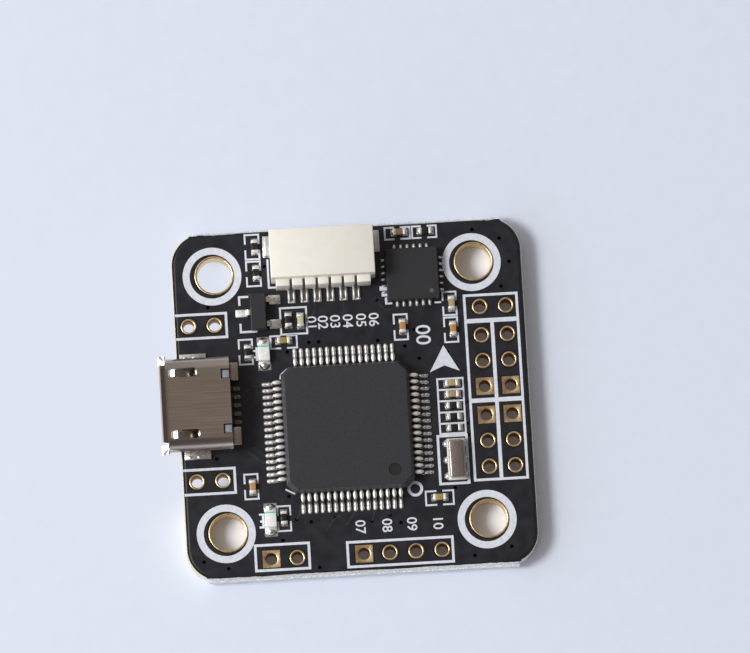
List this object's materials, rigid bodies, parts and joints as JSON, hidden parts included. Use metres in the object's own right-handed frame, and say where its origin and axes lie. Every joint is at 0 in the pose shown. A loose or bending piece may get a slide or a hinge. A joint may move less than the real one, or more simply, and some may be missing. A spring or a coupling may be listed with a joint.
{
  "type": "flight controller board",
  "caption": "Small square flight controller circuit board with corner mounting holes, a processor, a motion sensor, a USB socket over one edge and a wire socket on the next.",
  "frame": {"origin": "centre of the square pattern of mounting holes, on the board's bare underside", "axes": "+Z out of the component side, +X towards the signal holes, +Y towards the wire socket; the USB socket faces -X"},
  "size_m": [0.0285, 0.027, 0.0046],
  "materials": {
    "solder_mask": "satin black solder mask on glass-epoxy laminate",
    "mould_compound": "matt dark grey moulding compound",
    "tin_plate": "bright tin plate and solder",
    "shell_steel": "brushed nickel-plated sheet",
    "black_plastic": "black moulded insulator",
    "gold_plate": "gold-plated copper",
    "cream_plastic": "cream moulded nylon",
    "white_ceramic": "white ceramic and white print",
    "lid_metal": "drawn metal lid",
    "clear_resin": "clear resin over a white base",
    "resistor_black": "black glaze with tinned ends",
    "capacitor_brown": "brown sintered ceramic with tinned ends"
  },
  "bodies": {
    "root": {"circuit_board": "solder_mask", "processor_package": "mould_compound", "processor_leads_right": "tin_plate", "processor_leads_rear": "tin_plate", "processor_leads_left": "tin_plate", "processor_leads_front": "tin_plate", "motion_sensor": "mould_compound", "usb_shell": "shell_steel", "usb_insulator": "black_plastic", "usb_contact_1": "gold_plate", "usb_contact_2": "gold_plate", "usb_contact_3": "gold_plate", "usb_contact_4": "gold_plate", "usb_contact_5": "gold_plate", "wire_socket_housing": "cream_plastic", "wire_contact_1": "tin_plate", "wire_contact_2": "tin_plate", "wire_contact_3": "tin_plate", "wire_contact_4": "tin_plate", "wire_contact_5": "tin_plate", "wire_contact_6": "tin_plate", "wire_tab_left": "tin_plate", "wire_tab_right": "tin_plate", "regulator_package": "mould_compound", "regulator_lead_1": "tin_plate", "regulator_lead_2": "tin_plate", "regulator_lead_3": "tin_plate", "resonator_base": "white_ceramic", "resonator_lid": "lid_metal", "led_1_base": "white_ceramic", "led_1_lens": "clear_resin", "led_2_base": "white_ceramic", "led_2_lens": "clear_resin", "resistor_1": "resistor_black", "resistor_2": "resistor_black", "resistor_3": "resistor_black", "resistor_4": "resistor_black", "resistor_5": "resistor_black", "resistor_6": "resistor_black", "resistor_7": "resistor_black", "resistor_8": "resistor_black", "resistor_9": "resistor_black", "capacitor_1": "capacitor_brown", "capacitor_2": "capacitor_brown", "capacitor_3": "capacitor_brown", "capacitor_4": "capacitor_brown", "capacitor_5": "capacitor_brown", "capacitor_6": "capacitor_brown", "capacitor_7": "capacitor_brown", "capacitor_8": "capacitor_brown", "capacitor_9": "capacitor_brown", "capacitor_10": "capacitor_brown"}
  },
  "joints": []
}
